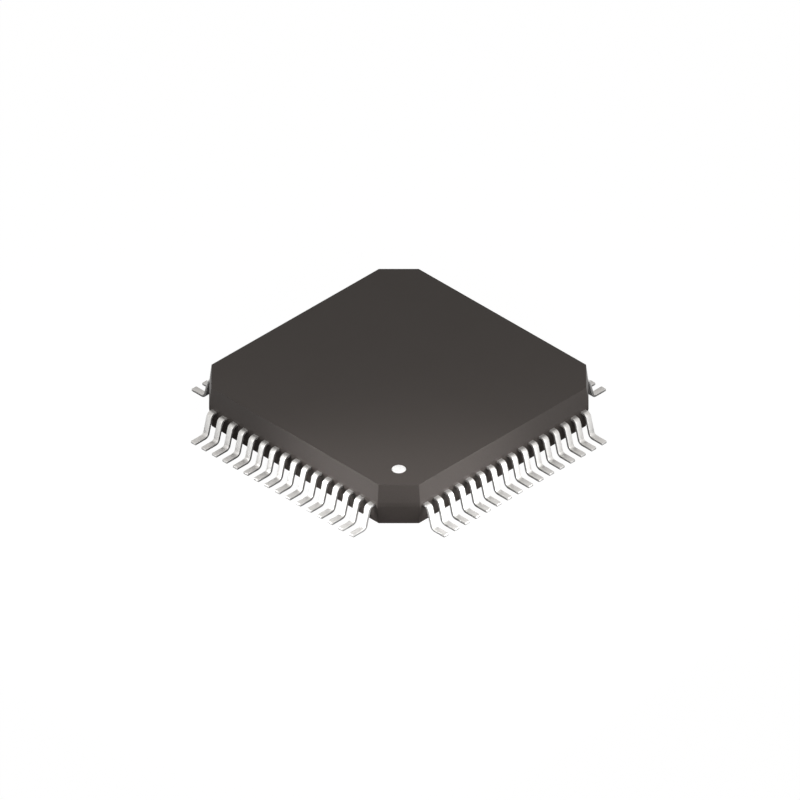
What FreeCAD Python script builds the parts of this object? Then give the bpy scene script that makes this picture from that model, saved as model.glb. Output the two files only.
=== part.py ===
import FreeCAD, Part
import math
import os

# Quad flat pack chip with 64 gull-wing leads, in millimetres.
# +Z is up, the soldered feet stand on z = 0, and the origin is the centre of the footprint.
# The cut corner beside pin 1 lies towards -X and -Y. Seen from above, the pins count
# anticlockwise: along -Y first, then +X, then +Y, then -X.

# Pin rows, one along each side
side_turns = (0, 90, 180, 270)   # degrees from the row along -Y
pins_per_side = 16
pitch = 0.5
pins_per_group = 4

# Moulded body, measured at the parting line, where its two halves meet and the leads come out
row_end_margin = 1.25        # centre of the last lead in a row to the side round the corner
corner_land = 0.14           # flat left between the last lead and the cut corner
standoff = 0.10              # underside above the board
lower_thickness = 0.74       # underside to the parting line
upper_thickness = 0.84       # parting line to the top face
parting_land = 0.14          # upright band of the upper half, above the parting line
draft_angle = 6.5            # degrees that the sides lean in, above the band and below it
edge_radius = 0.04           # moulded edges of the top and bottom faces

# Pin 1 mark: a disc of white ink in a shallow dimple of the top face
mark_diameter = 0.49
mark_edge_distance = 1.12    # centre of the mark to the two nearest sides of the top face
dimple_depth = 0.03
mark_recess = 0.005          # ink surface below the top face

# Leads, all stamped from one sheet with the die paddle
sheet_thickness = 0.09
lead_width = 0.22
lead_reach = 1.0             # side of the body to the lead's tip
shoulder_stub = 0.08         # straight run outside the body, before the first bend
shoulder_radius = 0.10       # inside of the upper bend
ankle_radius = 0.12          # inside of the lower bend
leg_lean = 15.0              # degrees from the vertical
anchor_length = 0.45         # straight run inside the body

# Inner ends of the leads, which fan in towards the die
finger_tip_width = 0.14
finger_tip_spacing = 0.14    # between neighbouring tips
finger_gap = 0.30            # edge of the die paddle to the tips

# Die and what carries it
die_size = 4.4
die_thickness = 0.28
attach_thickness = 0.025
attach_margin = 0.06         # adhesive that shows round the die
paddle_margin = 0.5          # paddle that shows round the die
paddle_downset = 0.20        # middle of the paddle below the middle of the leads
tie_bar_width = 0.25
tie_bar_flat = 0.15          # level run beyond the paddle's corner
tie_bar_slope = 0.25         # length over which the bar climbs to the leads' level
tie_bar_cover = 0.12         # moulding left over the bar's end

# Bond wires, each from a pad on the die to its lead
wire_diameter = 0.025
ball_diameter = 0.07
ball_height = 0.02
pad_edge_distance = 0.10     # centre of a pad to the die's edge
pad_row_margin = 0.40        # centre of the last pad in a row to the side round the corner
loop_height = 0.16           # crest of the wire above the die
crest_length = 0.30          # level run at the crest
bond_inset = 0.12            # fingertip to the place where the wire lands

# Places that follow from the sizes above
pin_count = len(side_turns) * pins_per_side
row_middle = (pins_per_side - 1) / 2
body_half = row_middle * pitch + row_end_margin
corner_cut = row_end_margin - lead_width / 2 - corner_land
parting_z = standoff + lower_thickness
land_z = parting_z + parting_land
top_z = parting_z + upper_thickness
upper_inset = (top_z - land_z) * math.tan(math.radians(draft_angle))
lower_inset = lower_thickness * math.tan(math.radians(draft_angle))
lead_top_z = parting_z + sheet_thickness / 2
lead_bottom_z = parting_z - sheet_thickness / 2
anchor_reach = body_half - anchor_length
paddle_half = die_size / 2 + paddle_margin
paddle_bottom_z = lead_bottom_z - paddle_downset
attach_bottom_z = paddle_bottom_z + sheet_thickness
die_bottom_z = attach_bottom_z + attach_thickness
die_top_z = die_bottom_z + die_thickness
fingertip_reach = paddle_half + finger_gap
mark_centre = -(body_half - upper_inset - mark_edge_distance)


def octagon(inset, z):
    """Outline of the body at height z, with each side and corner moved in by inset."""
    half = body_half - inset
    cut = corner_cut - inset * (2 - math.sqrt(2))
    flat = half - cut
    corners = [(flat, -half), (half, -flat), (half, flat), (flat, half),
               (-flat, half), (-half, flat), (-half, -flat), (-flat, -half)]
    return [FreeCAD.Vector(x, y, z) for x, y in corners]


def face(points):
    return Part.Face(Part.makePolygon(points + points[:1]))


def body_layer(lower, upper):
    """The body between two of its outlines."""
    faces = [face(lower), face(upper)]
    for index in range(len(lower)):
        after = (index + 1) % len(lower)
        faces.append(face([lower[index], lower[after], upper[after], upper[index]]))
    return Part.makeSolid(Part.makeShell(faces))


def rim(shape, z):
    """The edges of a shape that lie at height z."""
    return [edge for edge in shape.Edges
            if all(abs(vertex.Z - z) < Part.Precision.confusion() for vertex in edge.Vertexes)]


def body_blank():
    """The outside of the moulded body, before anything is set in it."""
    outlines = [octagon(lower_inset, standoff), octagon(0, parting_z), octagon(0, land_z),
                octagon(upper_inset, top_z)]
    layers = [body_layer(lower, upper) for lower, upper in zip(outlines, outlines[1:])]
    blank = layers[0].multiFuse(layers[1:]).removeSplitter().Solids[0]
    return blank.makeFillet(edge_radius, rim(blank, top_z) + rim(blank, standoff))


def disc(diameter, height, base):
    return Part.makeCylinder(diameter / 2, height, base)


def pin_1_dimple():
    return disc(mark_diameter, dimple_depth,
                FreeCAD.Vector(mark_centre, mark_centre, top_z - dimple_depth))


def pin_1_mark():
    return disc(mark_diameter, dimple_depth - mark_recess,
                FreeCAD.Vector(mark_centre, mark_centre, top_z - dimple_depth))


def square_plate(half, thickness, z):
    return Part.makeBox(2 * half, 2 * half, thickness, FreeCAD.Vector(-half, -half, z))


def lead_section(x):
    """Section of a lead's gull wing in the upright plane at x, for the row along -Y."""
    turn = math.radians(90 - leg_lean)
    sheet = sheet_thickness
    shoulder = shoulder_radius + sheet / 2
    ankle = ankle_radius + sheet / 2
    drop = parting_z - sheet / 2 - (shoulder + ankle) * (1 - math.cos(turn))
    leg = drop / math.sin(turn)
    stub_reach = body_half + shoulder_stub
    heel_reach = stub_reach + (shoulder + ankle) * math.sin(turn) + leg * math.cos(turn)
    tip_reach = body_half + lead_reach

    def at(reach, z):
        return FreeCAD.Vector(x, -reach, z)

    def on_shoulder(radius, angle):
        return at(stub_reach + radius * math.sin(angle),
                  lead_bottom_z - shoulder_radius + radius * math.cos(angle))

    def on_ankle(radius, angle):
        return at(heel_reach - radius * math.sin(angle),
                  sheet + ankle_radius - radius * math.cos(angle))

    def bend(place, radius, start, end):
        return Part.Arc(place(radius, start), place(radius, (start + end) / 2), place(radius, end))

    upper = [
        Part.LineSegment(at(anchor_reach, lead_top_z), at(stub_reach, lead_top_z)),
        bend(on_shoulder, shoulder_radius + sheet, 0, turn),
        Part.LineSegment(on_shoulder(shoulder_radius + sheet, turn), on_ankle(ankle_radius, turn)),
        bend(on_ankle, ankle_radius, turn, 0),
        Part.LineSegment(at(heel_reach, sheet), at(tip_reach, sheet)),
    ]
    lower = [
        Part.LineSegment(at(tip_reach, sheet), at(tip_reach, 0)),
        Part.LineSegment(at(tip_reach, 0), at(heel_reach, 0)),
        bend(on_ankle, ankle_radius + sheet, 0, turn),
        Part.LineSegment(on_ankle(ankle_radius + sheet, turn), on_shoulder(shoulder_radius, turn)),
        bend(on_shoulder, shoulder_radius, turn, 0),
        Part.LineSegment(at(stub_reach, lead_bottom_z), at(anchor_reach, lead_bottom_z)),
        Part.LineSegment(at(anchor_reach, lead_bottom_z), at(anchor_reach, lead_top_z)),
    ]
    return Part.Face(Part.Wire([segment.toShape() for segment in upper + lower]))


def fingertip_x(place):
    return place * (finger_tip_width + finger_tip_spacing)


def lead(place):
    """One lead of the row along -Y; place counts pitches from the middle of the row."""
    centre = place * pitch
    tip = fingertip_x(place)
    wing = lead_section(centre - lead_width / 2).extrude(FreeCAD.Vector(lead_width, 0, 0))
    finger_outline = [
        FreeCAD.Vector(centre - lead_width / 2, -anchor_reach, lead_bottom_z),
        FreeCAD.Vector(centre + lead_width / 2, -anchor_reach, lead_bottom_z),
        FreeCAD.Vector(tip + finger_tip_width / 2, -fingertip_reach, lead_bottom_z),
        FreeCAD.Vector(tip - finger_tip_width / 2, -fingertip_reach, lead_bottom_z),
    ]
    finger = face(finger_outline).extrude(FreeCAD.Vector(0, 0, sheet_thickness))
    return wing.fuse(finger).removeSplitter().Solids[0]


def tie_bar():
    """Bar out from a corner of the paddle and up to the leads' level, laid along +X."""
    paddle_corner = paddle_half * math.sqrt(2)
    root = paddle_corner - tie_bar_width
    climb_start = paddle_corner + tie_bar_flat
    climb_end = climb_start + tie_bar_slope
    body_corner = (2 * body_half - corner_cut) / math.sqrt(2)
    end = body_corner - tie_bar_cover
    centre_line = [(root, paddle_bottom_z), (climb_start, paddle_bottom_z),
                   (climb_end, lead_bottom_z), (end, lead_bottom_z)]
    lower = [FreeCAD.Vector(reach, -tie_bar_width / 2, z) for reach, z in centre_line]
    upper = [point + FreeCAD.Vector(0, 0, sheet_thickness) for point in reversed(lower)]
    return face(lower + upper).extrude(FreeCAD.Vector(0, tie_bar_width, 0))


def die_paddle():
    plate = square_plate(paddle_half, sheet_thickness, paddle_bottom_z)
    corner_bar = turned(tie_bar(), 45)
    bars = [turned(corner_bar, turn) for turn in side_turns]
    return plate.fuse(bars).removeSplitter().Solids[0]


def die_attach():
    return square_plate(die_size / 2 + attach_margin, attach_thickness, attach_bottom_z)


def die():
    return square_plate(die_size / 2, die_thickness, die_bottom_z)


def bond_wire(place):
    """Wire from the die to one lead of the row along -Y, with its ball on the pad."""
    pad_pitch = (die_size - 2 * pad_row_margin) / (pins_per_side - 1)
    pad = FreeCAD.Vector(place * pad_pitch, pad_edge_distance - die_size / 2, die_top_z)
    along_finger = bond_inset / (anchor_reach - fingertip_reach)
    landing_x = fingertip_x(place) + along_finger * (place * pitch - fingertip_x(place))
    landing = FreeCAD.Vector(landing_x, -fingertip_reach - bond_inset, lead_top_z)

    level = FreeCAD.Vector(landing.x - pad.x, landing.y - pad.y, 0).normalize()
    crest_start = pad + FreeCAD.Vector(0, 0, loop_height)
    crest_end = crest_start + level * crest_length
    descent = (landing - crest_end).normalize()
    overrun = wire_diameter / abs(descent.z)
    path = Part.makePolygon([pad, crest_start, crest_end, landing + descent * overrun])
    section = Part.Wire(Part.makeCircle(wire_diameter / 2, pad, FreeCAD.Vector(0, 0, 1)))
    mitred_corners = 1
    wire = path.makePipeShell([section], True, False, mitred_corners)

    below_landing = Part.makeBox(4 * overrun, 4 * overrun, overrun,
                                 landing - FreeCAD.Vector(2 * overrun, 2 * overrun, overrun))
    ball = disc(ball_diameter, ball_height, pad)
    return wire.cut(below_landing).fuse(ball).removeSplitter().Solids[0]


def turned(shape, degrees):
    copy = shape.copy()
    copy.rotate(FreeCAD.Vector(0, 0, 0), FreeCAD.Vector(0, 0, 1), degrees)
    return copy


def all_pins(make):
    """One solid for each pin in pin order, from a function that makes it for the row along -Y."""
    row = [make(index - row_middle) for index in range(pins_per_side)]
    return [turned(solid, turn) for turn in side_turns for solid in row]


def grouped(prefix, solids):
    """Named nodes of a few neighbouring pins each, such as leads_01_04."""
    nodes = {}
    for first in range(0, pin_count, pins_per_group):
        members = solids[first:first + pins_per_group]
        nodes[f"{prefix}_{first + 1:02d}_{first + len(members):02d}"] = Part.makeCompound(members)
    return nodes


leads = all_pins(lead)
wires = all_pins(bond_wire)
core = {"die_paddle": die_paddle(), "die_attach": die_attach(), "die": die()}
set_in_moulding = leads + wires + list(core.values()) + [pin_1_dimple()]

nodes = {"mould_body": body_blank().cut(set_in_moulding).Solids[0], "pin_1_mark": pin_1_mark()}
nodes.update(core)
nodes.update(grouped("leads", leads))
nodes.update(grouped("bond_wires", wires))

os.makedirs("parts", exist_ok=True)
for name, shape in nodes.items():
    shape.exportStep(f"parts/{name}.step")
    print(name, len(shape.Solids), "solids", round(shape.Volume, 5), "mm3", shape.isValid())
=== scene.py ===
import math
import bmesh
import bpy
from mathutils import Matrix, Vector


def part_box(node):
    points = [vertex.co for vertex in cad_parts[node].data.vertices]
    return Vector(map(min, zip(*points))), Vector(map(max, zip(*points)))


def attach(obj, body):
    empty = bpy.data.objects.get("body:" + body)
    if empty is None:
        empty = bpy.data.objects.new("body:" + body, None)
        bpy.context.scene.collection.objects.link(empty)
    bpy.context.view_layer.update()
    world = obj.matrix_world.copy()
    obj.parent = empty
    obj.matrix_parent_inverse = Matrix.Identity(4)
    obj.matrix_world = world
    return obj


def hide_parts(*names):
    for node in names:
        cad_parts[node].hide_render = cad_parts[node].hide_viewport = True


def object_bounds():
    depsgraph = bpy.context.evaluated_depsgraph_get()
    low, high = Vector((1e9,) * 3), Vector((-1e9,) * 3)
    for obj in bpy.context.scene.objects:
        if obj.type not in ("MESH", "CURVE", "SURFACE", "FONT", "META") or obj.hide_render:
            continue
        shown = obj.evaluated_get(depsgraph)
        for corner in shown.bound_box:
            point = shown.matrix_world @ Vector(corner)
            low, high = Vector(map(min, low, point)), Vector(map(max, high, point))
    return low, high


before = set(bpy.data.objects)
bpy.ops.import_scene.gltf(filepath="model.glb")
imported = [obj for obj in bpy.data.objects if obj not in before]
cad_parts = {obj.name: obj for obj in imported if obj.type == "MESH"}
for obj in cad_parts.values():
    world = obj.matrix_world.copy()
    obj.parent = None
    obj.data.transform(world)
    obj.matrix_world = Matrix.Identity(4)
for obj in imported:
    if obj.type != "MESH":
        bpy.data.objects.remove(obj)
cad_low, cad_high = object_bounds()

# Quad flat pack chip: the looks of its moulding, mark, leads and inner parts.
# Metres, with the feet on z = 0 and the corner of pin 1 towards -X and -Y.
MM = 0.001
HAIR = 0.0005 * MM              # less than any edge in the model
BODY = "root"

# Sizes of the leads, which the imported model's boxes don't give
SIDE_TURNS = (0, 90, 180, 270)
PINS_PER_SIDE = 16
PINS_PER_GROUP = 4
PITCH = 0.5 * MM
SHEET = 0.09 * MM
LEAD_WIDTH = 0.22 * MM
SHOULDER_STUB = 0.08 * MM
SHOULDER_RADIUS = 0.10 * MM     # inside of the bend, as is the ankle's
ANKLE_RADIUS = 0.12 * MM
LEG_LEAN = math.radians(15.0)
ANCHOR_LENGTH = 0.45 * MM       # full-width part of the lead inside the moulding
FINGERTIP_PITCH = 0.28 * MM
FINGERTIP_WIDTH = 0.14 * MM
FINGERTIP_REACH = 3.0 * MM      # from the chip's centre

# Sizes of the moulding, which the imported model's boxes don't give
CORNER_CUT = 1.0 * MM           # off each side of the square
PARTING_LAND = 0.14 * MM        # upright band above the parting line
DRAFT = math.radians(6.5)

# Softened edges, and how finely round shapes are divided
BODY_EDGE = 0.012 * MM
LEAD_EDGE = 0.012 * MM
MARK_EDGE = 0.010 * MM
LEAD_END_SLIMMING = 0.7         # share of LEAD_EDGE that the ends of a lead taper by
BODY_EDGE_STEPS = 4
LEAD_EDGE_STEPS = 2
LEAD_BEND_STEPS = 10
MARK_EDGE_STEPS = 4
MARK_SIDES = 96
SHARP_TURN = math.radians(46)   # the cut corners turn by 45 degrees and stay soft

# Noise lies almost wholly between these values
NOISE_RANGE = (0.3, 0.7)

# Studio: its colour, then the strength in front and behind and the strength to the left and right
# of the picture, first of the light that it gives and then of what the camera and gloss see of it
STUDIO_COLOUR = (1.0, 0.975, 0.945)
STUDIO_LIGHT = (0.04, 0.62)
BACKDROP = (0.62, 0.80)
PICTURE_RIGHT = (math.sqrt(0.5), -math.sqrt(0.5), 0)

# Floor: its width, the share of light that it gives back, and the glow that lifts it to white
FLOOR_SIZE = 800 * MM
FLOOR_SHADE = 0.10
FLOOR_GLOW = 0.97

# Nearer the chip the floor that gloss sees has no glow: painted shade
# The glow that gloss sees starts this far inside the leads' tips and is full this far outside them
GLOW_START = 0.1 * MM
GLOW_END = 0.4 * MM

# Lamps, in millimetres: name, place, point aimed at, side length, radiance, cone in degrees
SOFTBOXES = (
    ("front_low", (-9, -9, 5), (-4.6, -4.6, 1.2), 2.5, 0.22, 40),
    ("left_near", (-11, 1, 3.6), (-5, -4, 1.3), 5, 1.7, 60),
    ("left_high", (-14, 1, 8), (-5, 0, 1.3), 10, 1.35, 180),
    ("right_near", (1, -11, 3.6), (-4, -5, 1.3), 5, 1.25, 60),
    ("right_wide", (-1, -14, 5.5), (-2, -5, 1.3), 10, 2.6, 180),
)

# Camera: the picture's width and scale in pixels, the point at its middle, and a long lens that
# is far enough away to look parallel
PICTURE_WIDTH = 800
PIXELS_PER_MM = 29.8
PICTURE_MIDDLE = Vector((0.0285, -0.0285, 0.696)) * MM
FOCAL_LENGTH = 1000
SENSOR_WIDTH = 36
NEAREST = 10 * MM
FARTHEST = 5000 * MM

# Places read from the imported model
body_low, body_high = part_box("mould_body")
mark_low, mark_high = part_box("pin_1_mark")
body_reach = body_high.x
underside = body_low.z
top = body_high.z
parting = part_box("leads_01_04")[1].z - SHEET / 2
land = parting + PARTING_LAND
lead_tip = cad_high.x


def material(name, colour, roughness, metallic=0.0):
    """A new material with its shader's plain numbers set on the shader itself."""
    made = bpy.data.materials.new(name)
    made.use_nodes = True
    shader = made.node_tree.nodes["Principled BSDF"]
    shader.inputs["Base Color"].default_value = (*colour, 1.0)
    shader.inputs["Roughness"].default_value = roughness
    shader.inputs["Metallic"].default_value = metallic
    return made, made.node_tree, shader


def noise(tree, grain, detail=2.0):
    """Noise whose grains are about as wide as grain, in metres, fixed to the object."""
    place = tree.nodes.new("ShaderNodeTexCoord")
    made = tree.nodes.new("ShaderNodeTexNoise")
    made.inputs["Scale"].default_value = 1.0 / grain
    made.inputs["Detail"].default_value = detail
    tree.links.new(place.outputs["Object"], made.inputs["Vector"])
    return made.outputs["Fac"]


def fade(tree, value, start, end, low, high):
    """Low up to start, high from end on, and a straight slope between."""
    made = tree.nodes.new("ShaderNodeMapRange")
    made.inputs["From Min"].default_value = start
    made.inputs["From Max"].default_value = end
    made.inputs["To Min"].default_value = low
    made.inputs["To Max"].default_value = high
    tree.links.new(value, made.inputs["Value"])
    return made.outputs["Result"]


def spread(tree, value, low, high):
    """A noise value stretched to run from low to high."""
    return fade(tree, value, *NOISE_RANGE, low, high)


def tint(tree, value, dark, light):
    """A colour between dark and light, by a noise value."""
    made = tree.nodes.new("ShaderNodeMix")
    made.data_type = "RGBA"
    made.inputs["A"].default_value = (*dark, 1.0)
    made.inputs["B"].default_value = (*light, 1.0)
    tree.links.new(spread(tree, value, 0.0, 1.0), made.inputs["Factor"])
    return made.outputs["Result"]


def bump(tree, shader, value, depth):
    """Relief of a noise value, as deep as depth between its values 0 and 1."""
    made = tree.nodes.new("ShaderNodeBump")
    made.inputs["Distance"].default_value = depth
    made.inputs["Strength"].default_value = 1.0
    tree.links.new(value, made.inputs["Height"])
    tree.links.new(made.outputs["Normal"], shader.inputs["Normal"])


def moulding_material():
    """Black moulded epoxy: warm, matte, with fine filler grain."""
    made, tree, shader = material("moulded_epoxy", (0.067, 0.0575, 0.053), 0.46)
    shader.inputs["Specular IOR Level"].default_value = 0.27
    filler = noise(tree, 0.03 * MM, detail=3.0)
    cloud = noise(tree, 1.6 * MM)
    tree.links.new(tint(tree, filler, (0.0610, 0.0522, 0.0481), (0.0732, 0.0628, 0.0579)),
                   shader.inputs["Base Color"])
    tree.links.new(spread(tree, cloud, 0.44, 0.48), shader.inputs["Roughness"])
    bump(tree, shader, filler, 0.0012 * MM)
    return made


def tin_material():
    """Bright matte tin plate over stamped copper alloy sheet."""
    made, tree, shader = material("tin_plate", (0.84, 0.835, 0.825), 0.45, metallic=0.8)
    crystals = noise(tree, 0.012 * MM)
    streaks = noise(tree, 0.12 * MM)
    tree.links.new(tint(tree, streaks, (0.82, 0.815, 0.805), (0.86, 0.855, 0.845)),
                   shader.inputs["Base Color"])
    tree.links.new(spread(tree, crystals, 0.42, 0.48), shader.inputs["Roughness"])
    bump(tree, shader, crystals, 0.0003 * MM)
    return made


def ink_material():
    """Flat white marking ink."""
    made, tree, shader = material("mark_ink", (0.97, 0.97, 0.965), 0.55)
    mottle = noise(tree, 0.04 * MM)
    tree.links.new(tint(tree, mottle, (0.955, 0.955, 0.95), (0.985, 0.985, 0.98)),
                   shader.inputs["Base Color"])
    bump(tree, shader, mottle, 0.0010 * MM)
    return made


def inner_material(name, dark, light, roughness, metallic, grain):
    """Finish of a part that is sealed in the moulding."""
    made, tree, shader = material(name, light, roughness, metallic)
    mottle = noise(tree, grain)
    tree.links.new(tint(tree, mottle, dark, light), shader.inputs["Base Color"])
    return made


def finished(shape, name):
    """The mesh of a bmesh that is no longer needed."""
    mesh = bpy.data.meshes.new(name)
    shape.to_mesh(mesh)
    shape.free()
    return mesh


def link(name, mesh, finish):
    """A new piece of the object from a mesh."""
    made = bpy.data.objects.new(name, mesh)
    made.data.materials.append(finish)
    bpy.context.scene.collection.objects.link(made)
    return made


def place_piece(piece, slot, *nodes):
    """Gives a piece its body and hides the CAD nodes that it stands for; slot is not used."""
    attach(piece, BODY)
    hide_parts(*nodes)


def smooth(mesh):
    """Shades all faces smooth."""
    for polygon in mesh.polygons:
        polygon.use_smooth = True


def weigh_normals(piece):
    """Shades the flats flat and rounds only the softened edges."""
    weighted = piece.modifiers.new("flat faces stay flat", "WEIGHTED_NORMAL")
    weighted.keep_sharp = True
    weighted.weight = 100


def crease(mesh, heights):
    """Keeps the edges sharp that lie at one of the heights or turn by more than SHARP_TURN."""
    mesh.set_sharp_from_angle(angle=SHARP_TURN)
    sharp = mesh.attributes["sharp_edge"].data
    for edge in mesh.edges:
        ends = [mesh.vertices[index].co.z for index in edge.vertices]
        if any(max(abs(end - height) for end in ends) < HAIR for height in heights):
            sharp[edge.index].value = True


def bridge(shape, rings):
    """Closes a stack of rings into a skin with a face at each end."""
    for lower, upper in zip(rings, rings[1:]):
        for index in range(len(lower)):
            after = (index + 1) % len(lower)
            shape.faces.new((lower[index], lower[after], upper[after], upper[index]))
    shape.faces.new(list(reversed(rings[0])))
    shape.faces.new(rings[-1])


def octagon(inset, height):
    """Outline of the body at a height, with each side and corner moved in by inset."""
    half = body_reach - inset
    flat = half - CORNER_CUT + inset * (2 - math.sqrt(2))
    corners = [(flat, -half), (half, -flat), (half, flat), (flat, half),
               (-flat, half), (-half, flat), (-half, -flat), (-flat, -half)]
    return [Vector((x, y, height)) for x, y in corners]


def body_mesh():
    """The moulding: two drafted halves and an upright land between them, with softened edges."""
    lean = math.tan(DRAFT)
    levels = (((parting - underside) * lean, underside), (0, parting), (0, land),
              ((top - land) * lean, top))
    shape = bmesh.new()
    rings = [[shape.verts.new(point) for point in octagon(inset, height)]
             for inset, height in levels]
    bridge(shape, rings)
    creases = set()
    for ring in rings[1:3]:
        for index, vertex in enumerate(ring):
            after = ring[(index + 1) % len(ring)]
            creases.update(edge for edge in vertex.link_edges if edge.other_vert(vertex) == after)
    soft = [edge for edge in shape.edges if edge not in creases]
    bmesh.ops.bevel(shape, geom=soft, offset=BODY_EDGE, segments=BODY_EDGE_STEPS, profile=0.5,
                    affect="EDGES", clamp_overlap=True)
    return finished(shape, "moulding")


def disc_mesh(name, centre, radius, low, high):
    """A round disc with a softened upper rim."""
    profile = [(radius, low), (radius, high - MARK_EDGE)]
    for step in range(1, MARK_EDGE_STEPS + 1):
        angle = math.radians(90) * step / MARK_EDGE_STEPS
        profile.append((radius - MARK_EDGE * (1 - math.cos(angle)),
                        high - MARK_EDGE * (1 - math.sin(angle))))
    shape = bmesh.new()
    rings = []
    for reach, height in profile:
        ring = []
        for side in range(MARK_SIDES):
            angle = 2 * math.pi * side / MARK_SIDES
            ring.append(shape.verts.new((centre.x + reach * math.cos(angle),
                                         centre.y + reach * math.sin(angle), height)))
        rings.append(ring)
    bridge(shape, rings)
    return finished(shape, name)


def make_body():
    """The moulding with its pin 1 dimple, and the ink dot in it."""
    finish = moulding_material()
    body = link("moulding", body_mesh(), finish)
    centre = (mark_low + mark_high) / 2
    radius = (mark_high.x - mark_low.x) / 2
    cutter_mesh = disc_mesh("dimple_cutter", centre, radius, mark_low.z, top + MM)
    cutter = link("dimple_cutter", cutter_mesh, finish)
    dimple = body.modifiers.new("pin 1 dimple", "BOOLEAN")
    dimple.operation = "DIFFERENCE"
    dimple.solver = "EXACT"
    dimple.object = cutter
    bpy.context.view_layer.update()
    evaluated = body.evaluated_get(bpy.context.evaluated_depsgraph_get())
    cut_mesh = bpy.data.meshes.new_from_object(evaluated)
    body.modifiers.clear()
    body.data = cut_mesh
    bpy.data.objects.remove(cutter)
    smooth(body.data)
    crease(body.data, (parting, land))
    weigh_normals(body)
    place_piece(body, "moulding", "mould_body")

    mark_mesh = disc_mesh("white_dot", centre, radius, mark_low.z, mark_high.z)
    mark = link("white_dot", mark_mesh, ink_material())
    smooth(mark.data)
    weigh_normals(mark)
    place_piece(mark, "mark_ink", "pin_1_mark")


def lead_path():
    """Stations of a lead's middle line from fingertip to foot tip.

    Each is (reach from the chip's centre, height, lean of the sheet, share of the way from
    the fingertip to the anchor)."""
    turn = math.radians(90) - LEG_LEAN
    shoulder = SHOULDER_RADIUS + SHEET / 2
    ankle = ANKLE_RADIUS + SHEET / 2
    drop = parting - SHEET / 2 - (shoulder + ankle) * (1 - math.cos(turn))
    leg = drop / math.sin(turn)
    anchor = body_reach - ANCHOR_LENGTH
    stub = body_reach + SHOULDER_STUB
    heel = stub + (shoulder + ankle) * math.sin(turn) + leg * math.cos(turn)
    path = [(FINGERTIP_REACH, parting, 0.0, 0.0), (anchor, parting, 0.0, 1.0),
            (stub, parting, 0.0, 1.0)]
    for step in range(1, LEAD_BEND_STEPS + 1):
        angle = turn * step / LEAD_BEND_STEPS
        path.append((stub + shoulder * math.sin(angle),
                     parting - shoulder * (1 - math.cos(angle)), angle, 1.0))
    for step in range(LEAD_BEND_STEPS, -1, -1):
        angle = turn * step / LEAD_BEND_STEPS
        path.append((heel - ankle * math.sin(angle),
                     SHEET / 2 + ankle * (1 - math.cos(angle)), angle, 1.0))
    path.append((lead_tip, SHEET / 2, 0.0, 1.0))
    return path


def lead_section(width, thickness, edge):
    """Points round a lead's section, across its width and thickness, with softened corners."""
    points = []
    for corner in range(4):
        side = 1 if corner in (0, 3) else -1
        face = 1 if corner in (0, 1) else -1
        centre = (side * (width / 2 - edge), face * (thickness / 2 - edge))
        for step in range(LEAD_EDGE_STEPS + 1):
            angle = math.radians(90) * (corner + step / LEAD_EDGE_STEPS)
            points.append((centre[0] + edge * math.cos(angle), centre[1] + edge * math.sin(angle)))
    return points


def add_lead(shape, place, turn):
    """Adds one lead; place counts pitches from the middle of its row."""
    spin = Matrix.Rotation(math.radians(turn), 3, "Z")
    rings = []

    def ring(station, inset=0.0, shift=0.0):
        """One ring at a station, moved in on all sides by inset and outwards by shift."""
        reach, height, lean, outward = station
        width = FINGERTIP_WIDTH + outward * (LEAD_WIDTH - FINGERTIP_WIDTH)
        middle = place * (FINGERTIP_PITCH + outward * (PITCH - FINGERTIP_PITCH))
        section = lead_section(width - 2 * inset, SHEET - 2 * inset, LEAD_EDGE - inset)
        made = []
        for across, up in section:
            point = Vector((middle + across, -(reach + shift + up * math.sin(lean)),
                            height + up * math.cos(lean)))
            made.append(shape.verts.new(spin @ point))
        rings.append(made)

    path = lead_path()
    slimmed = LEAD_EDGE * LEAD_END_SLIMMING
    ring(path[0], slimmed)
    ring(path[0], shift=LEAD_EDGE)
    for station in path[1:-1]:
        ring(station)
    ring(path[-1], shift=-LEAD_EDGE)
    ring(path[-1], slimmed)
    bridge(shape, rings)


def make_leads():
    """The leads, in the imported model's groups of neighbouring pins."""
    finish = tin_material()
    pins = [(index - (PINS_PER_SIDE - 1) / 2, turn)
            for turn in SIDE_TURNS for index in range(PINS_PER_SIDE)]
    for first in range(0, len(pins), PINS_PER_GROUP):
        label = f"{first + 1:02d}_{first + PINS_PER_GROUP:02d}"
        shape = bmesh.new()
        for place, turn in pins[first:first + PINS_PER_GROUP]:
            add_lead(shape, place, turn)
        bmesh.ops.recalc_face_normals(shape, faces=shape.faces)
        mesh = finished(shape, f"gull_wings_{label}")
        piece = link(f"gull_wings_{label}", mesh, finish)
        smooth(piece.data)
        weigh_normals(piece)
        place_piece(piece, "lead_plating", f"leads_{label}")


def finish_inner_parts():
    """Finishes of what the moulding seals in."""
    copper = inner_material("copper_sheet", (0.60, 0.30, 0.19), (0.72, 0.40, 0.27),
                            0.35, 1.0, 0.2 * MM)
    adhesive = inner_material("silver_epoxy", (0.45, 0.45, 0.44), (0.55, 0.55, 0.54),
                              0.5, 0.4, 0.05 * MM)
    silicon = inner_material("silicon", (0.09, 0.10, 0.12), (0.14, 0.15, 0.18),
                             0.15, 0.6, 0.3 * MM)
    gold = inner_material("gold_wire", (0.90, 0.62, 0.25), (0.98, 0.72, 0.33),
                          0.25, 1.0, 0.1 * MM)
    inner = {"die_paddle": copper, "die_attach": adhesive, "die": silicon}
    for name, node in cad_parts.items():
        finish = gold if name.startswith("bond_wires") else inner.get(name)
        if finish:
            node.data.materials.clear()
            node.data.materials.append(finish)


def combine(tree, operation, first, second):
    """A Math node; each input is another node's output or a number."""
    made = tree.nodes.new("ShaderNodeMath")
    made.operation = operation
    for socket, value in zip(made.inputs, (first, second)):
        if isinstance(value, (int, float)):
            socket.default_value = value
        else:
            tree.links.new(value, socket)
    return made.outputs[0]


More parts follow.
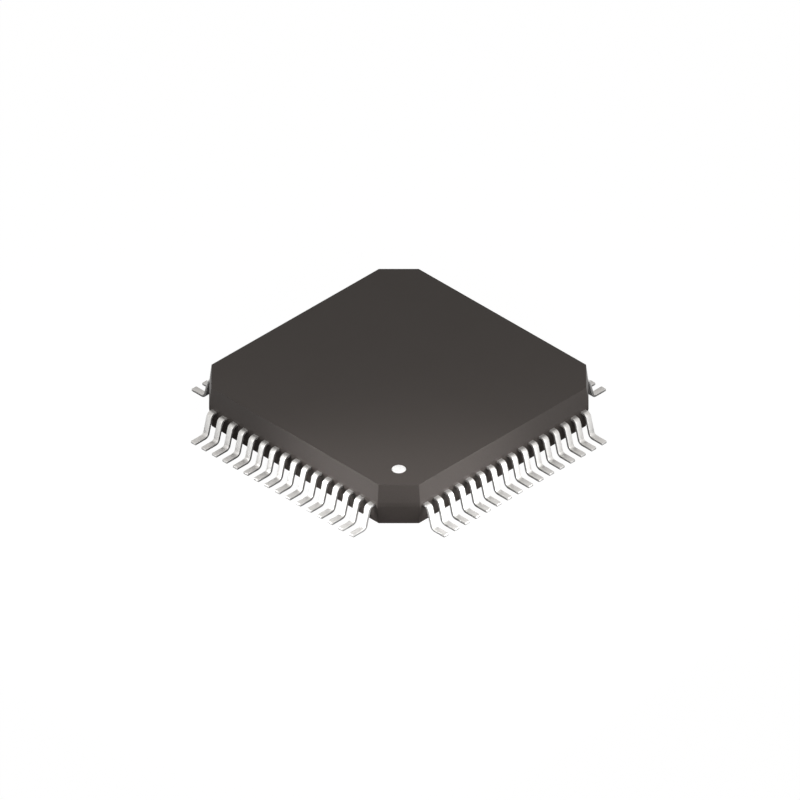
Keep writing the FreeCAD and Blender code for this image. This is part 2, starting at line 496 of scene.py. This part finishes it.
def seen_by(tree):
    """Two values: 1 for what the camera sees, and 1 for what shiny and clear surfaces see."""
    ray = tree.nodes.new("ShaderNodeLightPath")
    mirrored = combine(tree, "MAXIMUM", ray.outputs["Is Glossy Ray"],
                       ray.outputs["Is Transmission Ray"])
    return ray.outputs["Is Camera Ray"], mirrored


def make_world():
    """A studio that is brighter to the left and right of the picture than behind and above."""
    world = bpy.data.worlds.new("studio")
    world.use_nodes = True
    tree = world.node_tree
    place = tree.nodes.new("ShaderNodeTexCoord")
    across = tree.nodes.new("ShaderNodeVectorMath")
    across.operation = "DOT_PRODUCT"
    across.inputs[1].default_value = PICTURE_RIGHT
    tree.links.new(place.outputs["Generated"], across.inputs[0])
    sideways = combine(tree, "ABSOLUTE", across.outputs["Value"], 0)
    seen = combine(tree, "MAXIMUM", *seen_by(tree))
    given = combine(tree, "SUBTRACT", 1, seen)
    light = combine(tree, "MULTIPLY", given, fade(tree, sideways, 0, 1, *STUDIO_LIGHT))
    backdrop = combine(tree, "MULTIPLY", seen, fade(tree, sideways, 0, 1, *BACKDROP))
    background = tree.nodes["Background"]
    background.inputs["Color"].default_value = (*STUDIO_COLOUR, 1)
    tree.links.new(combine(tree, "ADD", light, backdrop), background.inputs["Strength"])
    bpy.context.scene.world = world


def floor_outside_painted_shade(tree):
    """1 on the open floor, and 0 among the leads and under the body: painted shade on the floor that
    gloss sees, where no light gets in.
    """
    place = tree.nodes.new("ShaderNodeTexCoord")
    apart = tree.nodes.new("ShaderNodeSeparateXYZ")
    tree.links.new(place.outputs["Object"], apart.inputs[0])
    reach = [combine(tree, "ABSOLUTE", apart.outputs[axis], 0) for axis in ("X", "Y")]
    return fade(tree, combine(tree, "MAXIMUM", *reach), lead_tip - GLOW_START,
                lead_tip + GLOW_END, 0, 1)


def make_floor():
    """Pale floor that keeps the chip's shadow, lifted to white for the camera and in reflections,
    but with painted shade in reflections near the chip.
    """
    shape = bmesh.new()
    bmesh.ops.create_grid(shape, x_segments=1, y_segments=1, size=FLOOR_SIZE / 2)
    mesh = finished(shape, "floor")
    finish = bpy.data.materials.new("floor")
    finish.use_nodes = True
    tree = finish.node_tree
    tree.nodes.clear()
    card = tree.nodes.new("ShaderNodeBsdfDiffuse")
    card.inputs["Color"].default_value = (FLOOR_SHADE, FLOOR_SHADE, FLOOR_SHADE, 1)
    camera, mirrored = seen_by(tree)
    # What gloss sees of the glow goes dark among the leads and under the body: painted shade
    seen = combine(tree, "MAXIMUM", camera, combine(tree, "MULTIPLY", mirrored, floor_outside_painted_shade(tree)))
    light = tree.nodes.new("ShaderNodeEmission")
    tree.links.new(combine(tree, "MULTIPLY", seen, FLOOR_GLOW), light.inputs["Strength"])
    both = tree.nodes.new("ShaderNodeAddShader")
    output = tree.nodes.new("ShaderNodeOutputMaterial")
    tree.links.new(card.outputs[0], both.inputs[0])
    tree.links.new(light.outputs[0], both.inputs[1])
    tree.links.new(both.outputs[0], output.inputs["Surface"])
    floor = link("floor", mesh, finish)
    floor.location.z = -HAIR


def softbox(name, place, aim, size, radiance, cone):
    """A square soft light; its arguments are a row of SOFTBOXES."""
    lamp = bpy.data.lights.new(name, "AREA")
    lamp.shape = "SQUARE"
    lamp.size = size * MM
    lamp.spread = math.radians(cone)
    lamp.energy = radiance * math.pi * lamp.size * lamp.size
    made = bpy.data.objects.new(name, lamp)
    made.location = Vector(place) * MM
    made.rotation_mode = "QUATERNION"
    made.rotation_quaternion = (Vector(place) - Vector(aim)).to_track_quat("Z", "Y")
    bpy.context.scene.collection.objects.link(made)


def make_camera():
    """Isometric view over the corner of pin 1."""
    elevation = math.atan(1 / math.sqrt(2))
    back = Vector((-math.cos(elevation) / math.sqrt(2), -math.cos(elevation) / math.sqrt(2),
                   math.sin(elevation)))
    lens = bpy.data.cameras.new("camera")
    lens.lens = FOCAL_LENGTH
    lens.sensor_width = SENSOR_WIDTH
    lens.clip_start = NEAREST
    lens.clip_end = FARTHEST
    width = PICTURE_WIDTH / PIXELS_PER_MM * MM
    made = bpy.data.objects.new("camera", lens)
    made.location = PICTURE_MIDDLE + back * (width * lens.lens / lens.sensor_width)
    made.rotation_mode = "QUATERNION"
    made.rotation_quaternion = back.to_track_quat("Z", "Y")
    bpy.context.scene.collection.objects.link(made)
    bpy.context.scene.camera = made


make_camera()
make_body()
make_leads()
finish_inner_parts()
make_world()
make_floor()
for row in SOFTBOXES:
    softbox(*row)
bpy.context.scene.view_settings.view_transform = "Standard"
